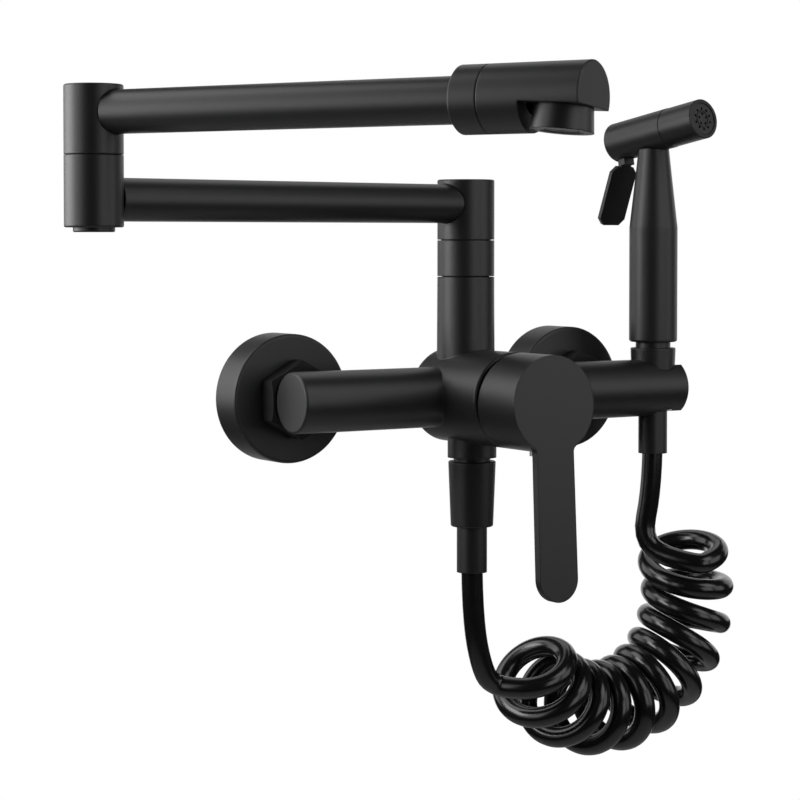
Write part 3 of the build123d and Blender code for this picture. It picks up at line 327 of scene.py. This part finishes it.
class MIXER_OT_inner(bpy.types.Operator):
    """Gives the brass, steel, rubber, plastic and ceramic pieces their finishes"""

    bl_idname = "mixer.inner"
    bl_label = "Inner pieces"

    def execute(self, context):
        dress(BRASS, brass_finish())
        dress(STEEL, steel_finish())
        dress(RUBBER, rubber_finish())
        dress(WHITE_PLASTIC, bearing_finish())
        dress(DARK_PLASTIC, insert_finish())
        dress(CERAMIC, ceramic_finish())
        return {"FINISHED"}


# Shapes shared by the new pieces

SAME_CORNER = 1e-6


def placed(name, data):
    """A new object at the origin for a mesh, a lamp or a camera."""
    piece = bpy.data.objects.new(name, data)
    bpy.context.scene.collection.objects.link(piece)
    return piece


def ring_piece(name, rings, capped):
    """A closed smooth piece through rings of points, either capped flat at both ends or joined end to end."""
    count, sides = rings.shape[:2]
    rows = np.arange(count - 1 if capped else count)[:, None]
    here = np.arange(sides)[None, :]
    following = (here + 1) % sides
    near, far = rows * sides, (rows + 1) % count * sides
    quads = np.stack([near + here, near + following, far + following, far + here], -1).reshape(-1, 4)
    caps = [list(range(sides))[::-1], list(range((count - 1) * sides, count * sides))] if capped else []
    mesh = bpy.data.meshes.new(name)
    mesh.from_pydata(rings.reshape(-1, 3).tolist(), [], quads.tolist() + caps)
    mesh.polygons.foreach_set("use_smooth", [True] * len(quads) + [False] * len(caps))
    return placed(name, mesh)


def turned_piece(name, origin, axis, profile, sides):
    """A turned ring: each point of a closed profile, in millimetres, carried round the axis.

    A point is a radius and a height along the axis.
    Seen with the radius to the right and the height up, the profile runs anticlockwise.
    The faces then point outwards.
    """
    first = np.cross(axis, (1.0, 0.0, 0.0))
    first /= np.linalg.norm(first)
    second = np.cross(axis, first)
    turn = np.linspace(0, 2 * math.pi, sides, endpoint=False)
    around = first * np.cos(turn)[:, None] + second * np.sin(turn)[:, None]
    radius, height = (np.array(profile) * MM).T
    rings = origin + axis * height[:, None, None] + around[None] * radius[:, None, None]
    return ring_piece(name, rings, False)


def merged_copy(name, node):
    """A copy of a CAD node's mesh whose loose triangles share their corners."""
    shape = bmesh.new()
    shape.from_mesh(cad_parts[node].data)
    bmesh.ops.remove_doubles(shape, verts=shape.verts, dist=SAME_CORNER)
    mesh = bpy.data.meshes.new(name)
    shape.to_mesh(mesh)
    shape.free()
    mesh.materials.append(finish_of(node))
    return placed(name, mesh)


# Spiral hose

COIL_CENTRE = np.array([75.33, -42.15, -96.37]) * MM
COIL_FROM, COIL_TO = math.radians(210.41), math.radians(384.2)
PHASE_FROM, PHASE_TO = math.radians(27.36), math.radians(90.66)
LEAN_FROM, LEAN_TO = math.radians(-10.15), math.radians(13.17)
LEAD_IN, LEAD_OUT = 8.52 * MM, 7.14 * MM
BODY_LEAD = np.array([[0, -46, -68.15], [0, -46, -96.95], [6.74, -44.91, -124.59]]) * MM
SPRAY_LEAD = np.array([[102.06, -36.15, -75.34], [105.65, -41, -45.96], [105.65, -41, -21.0]]) * MM
END_POINTS = 3
SMALL_SHARE = 1e-5
QUADRATIC_ORDER = 3
LINE_STEPS = 6
HOSE_SIDES = 24


def eased(values, share):
    """Four values eased from the first to the last: each times its cubic Bernstein weight."""
    rest = 1.0 - share
    weights = np.stack([rest ** 3, 3 * share * rest ** 2, 3 * share ** 2 * rest, share ** 3], -1)
    return weights @ np.array(values)


def coil(share, sizes):
    """Control points of a coil round an arc: the arc's point plus a vector that turns round its tangent.

    The vector turns from straight outward towards the front, so the coil is left-handed.
    The turning plane leans one way at the coil's lower end and the other way at its upper end.
    A quadratic spline runs inside its points, at 3/4 + 1/4 cos(step) of their radius.
    The points stand out by as much.
    """
    angle = COIL_FROM + share * (COIL_TO - COIL_FROM)
    phase = PHASE_FROM + share * (2 * math.pi * sizes.coil_turns + PHASE_TO - PHASE_FROM)
    lean = LEAN_FROM + share * (LEAN_TO - LEAN_FROM)
    stand_out = 1 / (0.75 + 0.25 * math.cos(2 * math.pi / sizes.points_per_turn))
    zero = np.zeros_like(angle)
    outward = np.stack([np.cos(angle), zero, np.sin(angle)], -1)
    along = np.stack([-np.sin(angle), zero, np.cos(angle)], -1)
    front = np.stack([zero, -np.cos(lean), zero], -1) - along * np.sin(lean)[:, None]
    around = (
        outward * (eased(sizes.coil_radius, share) * np.cos(phase))[:, None]
        + front * (eased(sizes.coil_front_radius, share) * np.sin(phase))[:, None])
    return COIL_CENTRE + outward * sizes.bend_radius + around * stand_out


def hose_route(sizes):
    """Control points of the hose from the body's sleeve to the hand spray's sleeve.

    The coil's last part of a turn takes a few points more than its full turns.
    Each lead meets the coil on the tangent at the coil's end.
    """
    count = sizes.points_per_turn * sizes.coil_turns + END_POINTS
    turns = coil(np.linspace(0.0, 1.0, count), sizes)
    ends = coil(np.array([0.0, SMALL_SHARE, 1.0 - SMALL_SHARE, 1.0]), sizes)
    into = (ends[1] - ends[0]) / np.linalg.norm(ends[1] - ends[0])
    out = (ends[3] - ends[2]) / np.linalg.norm(ends[3] - ends[2])
    return np.vstack([
        BODY_LEAD,
        turns[0] - into * LEAD_IN,
        turns,
        turns[-1] + out * LEAD_OUT,
        SPRAY_LEAD,
    ])


def smooth_line(name, points):
    """Points along the quadratic spline that has the given control points."""
    curve = bpy.data.curves.new(name, "CURVE")
    curve.dimensions = "3D"
    spline = curve.splines.new("NURBS")
    spline.points.add(len(points) - 1)
    spline.points.foreach_set("co", np.hstack([points, np.ones((len(points), 1))]).ravel())
    spline.order_u = QUADRATIC_ORDER
    spline.use_endpoint_u = True
    spline.resolution_u = LINE_STEPS
    holder = bpy.data.objects.new(name, curve)
    line = bpy.data.meshes.new_from_object(holder)
    found = np.zeros(len(line.vertices) * 3)
    line.vertices.foreach_get("co", found)
    bpy.data.objects.remove(holder)
    bpy.data.curves.remove(curve)
    bpy.data.meshes.remove(line)
    return found.reshape(-1, 3)


def hose_tube(name, path, radius):
    """A round tube along the hose: at each point a circle in the plane across the path.

    The circle's first direction is carried along the path with the least turning.
    """
    ahead = np.gradient(path, axis=0)
    ahead /= np.linalg.norm(ahead, axis=1)[:, None]
    first = np.zeros_like(path)
    side = np.cross(ahead[0], (0.0, 1.0, 0.0))
    for i, direction in enumerate(ahead):
        side = side - direction * side.dot(direction)
        side = side / np.linalg.norm(side)
        first[i] = side
    second = np.cross(ahead, first)
    turn = np.linspace(0, 2 * math.pi, HOSE_SIDES, endpoint=False)
    ring = first[:, None] * np.cos(turn)[None, :, None] + second[:, None] * np.sin(turn)[None, :, None]
    return ring_piece(name, path[:, None] + ring * radius, True)


class MIXER_OT_hose(bpy.types.Operator):
    """Winds the spiral hose"""

    bl_idname = "mixer.hose"
    bl_label = "Spiral hose"

    def execute(self, context):
        sizes = context.scene.mixer_sizes
        path = smooth_line("hose line", hose_route(sizes))
        hose = hose_tube("hose", path, sizes.hose_diameter / 2)
        hose.data.materials.append(hose_finish(context.scene.mixer_finishes))
        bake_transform(hose)
        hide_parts("spiral_hose")
        return {"FINISHED"}


# Return spring and small turned pieces

RISER = np.array([0.0, -41.0, 0.0]) * MM
LOWER_ANGLE, LOWER_REACH = math.radians(10.2), 200.0 * MM
UPPER_ANGLE, UPPER_HEIGHT, AERATOR_REACH = math.radians(63.75), 118.1 * MM, 202.8 * MM
NOZZLE_ROLL, FLAT_TILT = math.radians(5.0), math.radians(3.0)
SPRAY_HEAD = np.array([105.65, -41.0, 118.64]) * MM
HEAD_YAW, HEAD_TILT = math.radians(7.0), math.radians(9.7)
TURNED_SIDES = 64
# Profiles of the turned pieces: radius and height in millimetres
SCREEN_PROFILE = (
    (0.2, 10.4), (7.35, 10.4), (7.35, 11.6), (7.2, 11.75), (6.5, 11.7), (6.3, 11.0), (5.9, 11.0),
    (5.6, 11.45), (0.2, 11.45),
)
WASHER_PROFILE = ((7.7, 68.78), (11.0, 68.78), (11.0, 69.02), (7.7, 69.02))
FACE_RING_RADIUS, FACE_RING_HALF_WIDTH = 3.55, 0.45
FACE_RING_FOOT, FACE_RING_RISE = 31.38, 0.42
FACE_RING_POINTS = 9


def aerator_axis():
    """The aerator's middle on the upper arm's line, and its direction down."""
    elbow = np.array([-math.cos(LOWER_ANGLE), -math.sin(LOWER_ANGLE), 0.0]) * LOWER_REACH
    along = np.array([math.cos(UPPER_ANGLE), -math.sin(UPPER_ANGLE), 0.0])
    far_side = np.array([math.sin(UPPER_ANGLE), math.cos(UPPER_ANGLE), 0.0])
    nozzle_up = UP * math.cos(NOZZLE_ROLL) + far_side * math.sin(NOZZLE_ROLL)
    down = -nozzle_up * math.cos(FLAT_TILT) - along * math.sin(FLAT_TILT)
    return RISER + UP * UPPER_HEIGHT + elbow + along * AERATOR_REACH, down


def head_axis():
    """The direction in which the spray's head points."""
    level = math.cos(HEAD_TILT)
    return np.array([level * math.sin(HEAD_YAW), -level * math.cos(HEAD_YAW), math.sin(HEAD_TILT)])


class MIXER_OT_spring(bpy.types.Operator):
    """Puts a merged copy of the valve's return spring in place of the CAD node"""

    bl_idname = "mixer.spring"
    bl_label = "Return spring"

    def execute(self, context):
        spring = merged_copy("return_spring", "plunger_spring")
        points = np.zeros(len(spring.data.vertices) * 3)
        spring.data.vertices.foreach_get("co", points)
        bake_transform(spring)
        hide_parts("plunger_spring")
        return {"FINISHED"}


def aerator_screen():
    """The screen in the aerator's mouth: a shallow disc with a groove inside its rim."""
    middle, down = aerator_axis()
    screen = turned_piece("aerator_screen", middle, down, SCREEN_PROFILE, TURNED_SIDES)
    screen.data.materials.append(screen_finish_with_painted_underlight())
    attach(screen, "upper_arm")


def spray_face_ring():
    """The raised ring on the spray face, half an ellipse in profile."""
    turn = np.linspace(0.0, math.pi, FACE_RING_POINTS)
    radius = FACE_RING_RADIUS + FACE_RING_HALF_WIDTH * np.cos(turn)
    height = FACE_RING_FOOT + FACE_RING_RISE * np.sin(turn)
    profile = np.stack([radius, height], -1)
    ring = turned_piece("spray_face_ring", SPRAY_HEAD, head_axis(), profile, TURNED_SIDES)
    ring.data.materials.append(insert_finish())
    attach(ring, "hand_spray")


def riser_slip_washer():
    """The thin dark washer in the riser's upper seam, flat on both sides."""
    washer = turned_piece("riser_slip_washer", RISER, UP, WASHER_PROFILE, TURNED_SIDES)
    washer.data.materials.append(finish_of("riser_seals"))
    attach(washer, "mixer")


class MIXER_OT_trim(bpy.types.Operator):
    """Adds the aerator's screen, the spray face's ring and the thin washer under the spout's head"""

    bl_idname = "mixer.trim"
    bl_label = "Small turned pieces"

    def execute(self, context):
        aerator_screen()
        spray_face_ring()
        riser_slip_washer()
        return {"FINISHED"}


# Stage

MIDDLE = np.array([-0.03, -0.10, 0.0])
KNUCKLE = np.array([-0.197, -0.076, 0.10])
UPPER_ARM = np.array([-0.18, -0.11, 0.118])
ROOM_DISTANCE, ROOM_SIZE = 1.2, 0.7
# Lights round the whole object: degrees to the left of the camera's side, degrees up, power in watts
ROOM_LIGHTS = {
    "left light": (60, 10, 1.64),
    "left high light": (100, 45, 4.23),
    "left back light": (120, 10, 2.33),
    "back high light": (180, 45, 1.5),
    "right front light": (-40, 10, 2.59),
    "right light": (-80, 10, 2.16),
    "right high light": (-60, 45, 3.21),
    "right back light": (-140, 10, 1.62),
}
# Lights near one arm: where they point, degrees left, degrees up, power in watts, distance, size
NEAR_LIGHTS = {
    "knuckle light": (KNUCKLE, 105, 5, 1.13, 0.35, 0.25),
    "upper arm light": (UPPER_ARM, 76, 14, 1.0, 0.5, 0.56),
}
FLOOR_RINGS, FLOOR_SPOKES = 5, 49
FLOOR_FADE_FROM, FLOOR_FADE_TO, FLOOR_WHITE = 0.45, 0.95, 0.7
BACKDROP_DISTANCE, BACKDROP_WIDTH = 1.3, 1.3
BACKDROP_LOW, BACKDROP_HIGH = -0.60, 0.50
SENSOR_WIDTH = 36.0
NEAR_CLIP = 0.01


def area_light(name, camera_place, aim, left, up, power, distance, size):
    """A square soft light that points at a place, set by its angles from the camera's side of that place."""
    side = np.array(camera_place)[:2] - aim[:2]
    turn = math.atan2(side[1], side[0]) - math.radians(left)
    rise = math.radians(up)
    ray = np.array([math.cos(turn) * math.cos(rise), math.sin(turn) * math.cos(rise), math.sin(rise)])
    lamp = bpy.data.lights.new(name, "AREA")
    lamp.size = size
    lamp.energy = power
    holder = placed(name, lamp)
    holder.location = aim + ray * distance
    holder.rotation_euler = (math.pi / 2 - rise, 0.0, turn + math.pi / 2)
    holder.visible_camera = False


def sheet(name, points, rows):
    """A surface through a grid of points, given row by row."""
    columns = len(points) // rows
    i = np.arange(rows - 1)[:, None] * columns + np.arange(columns - 1)[None, :]
    quads = np.stack([i, i + 1, i + columns + 1, i + columns], -1).reshape(-1, 4)
    mesh = bpy.data.meshes.new(name)
    mesh.from_pydata(points.tolist(), [], quads.tolist())
    piece = placed(name, mesh)
    return piece


def floor_sheet(height, radius):
    """A round floor: points at even steps of radius and of turn round the object's middle."""
    out, turn = np.meshgrid(
        np.linspace(0.0, radius, FLOOR_RINGS), np.linspace(0.0, 2 * math.pi, FLOOR_SPOKES), indexing="ij")
    points = np.stack([
        MIDDLE[0] + out * np.cos(turn), MIDDLE[1] + out * np.sin(turn), np.full_like(out, height)], -1)
    return sheet("floor", points.reshape(-1, 3), FLOOR_RINGS)


def backdrop_sheet(turn):
    """An upright sheet behind the object, square to the camera's level line of sight."""
    ahead = np.array([-math.sin(turn), math.cos(turn), 0.0])
    right = np.array([math.cos(turn), math.sin(turn), 0.0])
    across, height = np.meshgrid(
        np.array([-BACKDROP_WIDTH / 2, BACKDROP_WIDTH / 2]), np.array([BACKDROP_LOW, BACKDROP_HIGH]))
    foot = MIDDLE + ahead * BACKDROP_DISTANCE
    return sheet("backdrop", foot + right * across.ravel()[:, None] + UP * height.ravel()[:, None], 2)


def seen_by(tree, *rays):
    """A factor that is 1 on the named kinds of ray: the largest of their shares."""
    path = tree.nodes.new("ShaderNodeLightPath")
    factor = path.outputs[rays[0]]
    for ray in rays[1:]:
        either = tree.nodes.new("ShaderNodeMath")
        either.operation = "MAXIMUM"
        tree.links.new(factor, either.inputs[0])
        tree.links.new(path.outputs[ray], either.inputs[1])
        factor = either.outputs["Value"]
    return factor


def mix_in_white(tree, factor, own, white, end):
    """Shows a tree's own shader where the factor is 0 and the white one where it is 1."""
    blend = tree.nodes.new("ShaderNodeMixShader")
    tree.links.new(factor, blend.inputs["Fac"])
    tree.links.new(own, blend.inputs[1])
    tree.links.new(white, blend.inputs[2])
    tree.links.new(blend.outputs["Shader"], tree.nodes[end].inputs["Surface"])


def whiten(material, factor):
    """Turns a material white by a factor."""
    tree = material.node_tree
    white = tree.nodes.new("ShaderNodeEmission")
    own = tree.nodes["Principled BSDF"].outputs["BSDF"]
    mix_in_white(tree, factor, own, white.outputs["Emission"], "Material Output")


def backdrop_finish():
    """Pale sheet that is white where the camera, a reflection or a see-through surface sees it."""
    material = plain_finish("pale backdrop", (0.85, 0.85, 0.85), 0.9)
    rays = ("Is Camera Ray", "Is Glossy Ray", "Is Transmission Ray")
    whiten(material, seen_by(material.node_tree, *rays))
    return material


def floor_finish(radius):
    """Pale floor that takes the object's shadow and fades to white towards its rim."""
    material = plain_finish("pale floor", (0.82, 0.82, 0.82), 0.8)
    nodes, links = material.node_tree.nodes, material.node_tree.links
    place = nodes.new("ShaderNodeTexCoord")
    centre = nodes.new("ShaderNodeMapping")
    centre.inputs["Location"].default_value = (-MIDDLE[0], -MIDDLE[1], 0.0)
    flat = nodes.new("ShaderNodeVectorMath")
    flat.operation = "MULTIPLY"
    flat.inputs[1].default_value = (1.0, 1.0, 0.0)
    reach = nodes.new("ShaderNodeVectorMath")
    reach.operation = "LENGTH"
    fade = nodes.new("ShaderNodeMapRange")
    fade.interpolation_type = "SMOOTHSTEP"
    fade.inputs["From Min"].default_value = FLOOR_FADE_FROM * radius
    fade.inputs["From Max"].default_value = FLOOR_FADE_TO * radius
    fade.inputs["To Min"].default_value = FLOOR_WHITE
    both = nodes.new("ShaderNodeMath")
    both.operation = "MULTIPLY"
    links.new(place.outputs["Object"], centre.inputs["Vector"])
    links.new(centre.outputs["Vector"], flat.inputs[0])
    links.new(flat.outputs["Vector"], reach.inputs[0])
    links.new(reach.outputs["Value"], fade.inputs["Value"])
    links.new(fade.outputs["Result"], both.inputs[0])
    links.new(seen_by(material.node_tree, "Is Camera Ray"), both.inputs[1])
    whiten(material, both.outputs["Value"])
    return material


def studio_world(level):
    """A dim even room whose far background is white to the camera."""
    world = bpy.data.worlds.new("studio")
    world.use_nodes = True
    tree = world.node_tree
    room = tree.nodes["Background"]
    room.inputs["Color"].default_value = (1, 1, 1, 1)
    room.inputs["Strength"].default_value = level
    white = tree.nodes.new("ShaderNodeBackground")
    white.inputs["Color"].default_value = (1, 1, 1, 1)
    factor = seen_by(tree, "Is Camera Ray", "Is Transmission Ray")
    mix_in_white(tree, factor, room.outputs["Background"], white.outputs["Background"], "World Output")
    return world


def photo_camera(stage):
    """A camera at the photograph's place, pitched a little down, whose shift frames the object."""
    camera = bpy.data.cameras.new("camera")
    camera.sensor_width = SENSOR_WIDTH
    camera.lens = stage.camera_lens
    camera.shift_y = stage.camera_drop
    camera.clip_start = NEAR_CLIP
    holder = placed("camera", camera)
    holder.location = stage.camera_place
    holder.rotation_euler = (math.pi / 2 - stage.camera_pitch, 0.0, stage.camera_turn)
    return holder


class MIXER_OT_stage(bpy.types.Operator):
    """Sets the floor, the backdrop, the lights and the camera"""

    bl_idname = "mixer.stage"
    bl_label = "Stage"

    def execute(self, context):
        scene = context.scene
        stage = scene.mixer_stage
        floor = floor_sheet(stage.floor_height, stage.floor_radius)
        floor.data.materials.append(floor_finish(stage.floor_radius))
        backdrop = backdrop_sheet(stage.camera_turn)
        backdrop.data.materials.append(backdrop_finish())
        scene.world = studio_world(stage.room_level)
        for name, settings in ROOM_LIGHTS.items():
            area_light(name, stage.camera_place, MIDDLE, *settings, ROOM_DISTANCE, ROOM_SIZE)
        for name, settings in NEAR_LIGHTS.items():
            area_light(name, stage.camera_place, *settings)
        scene.camera = photo_camera(stage)
        scene.view_settings.view_transform = "Standard"
        return {"FINISHED"}


class MIXER_PT_panel(bpy.types.Panel):
    """Lists the mixer's sizes, finishes, stage and building steps"""

    bl_idname = "MIXER_PT_panel"
    bl_label = "Wall sink mixer"
    bl_space_type = "VIEW_3D"
    bl_region_type = "UI"
    bl_category = "Mixer"

    def draw(self, context):
        layout = self.layout
        for group in (context.scene.mixer_sizes, context.scene.mixer_finishes, context.scene.mixer_stage):
            box = layout.box()
            for name in group.__annotations__:
                box.prop(group, name)
        for step in STEPS:
            layout.operator(step.bl_idname)


GROUPS = (MixerSizes, MixerFinishes, MixerStage)
STEPS = (MIXER_OT_metal, MIXER_OT_inner, MIXER_OT_hose, MIXER_OT_spring, MIXER_OT_trim, MIXER_OT_stage)


def register():
    for kind in (*GROUPS, *STEPS, MIXER_PT_panel):
        bpy.utils.register_class(kind)
    bpy.types.Scene.mixer_sizes = PointerProperty(type=MixerSizes)
    bpy.types.Scene.mixer_finishes = PointerProperty(type=MixerFinishes)
    bpy.types.Scene.mixer_stage = PointerProperty(type=MixerStage)


def unregister():
    del bpy.types.Scene.mixer_stage
    del bpy.types.Scene.mixer_finishes
    del bpy.types.Scene.mixer_sizes
    for kind in reversed((*GROUPS, *STEPS, MIXER_PT_panel)):
        bpy.utils.unregister_class(kind)


def main():
    register()
    bpy.ops.mixer.metal()
    bpy.ops.mixer.inner()
    bpy.ops.mixer.hose()
    bpy.ops.mixer.spring()
    bpy.ops.mixer.trim()
    bpy.ops.mixer.stage()


if __name__ == "__main__":
    main()
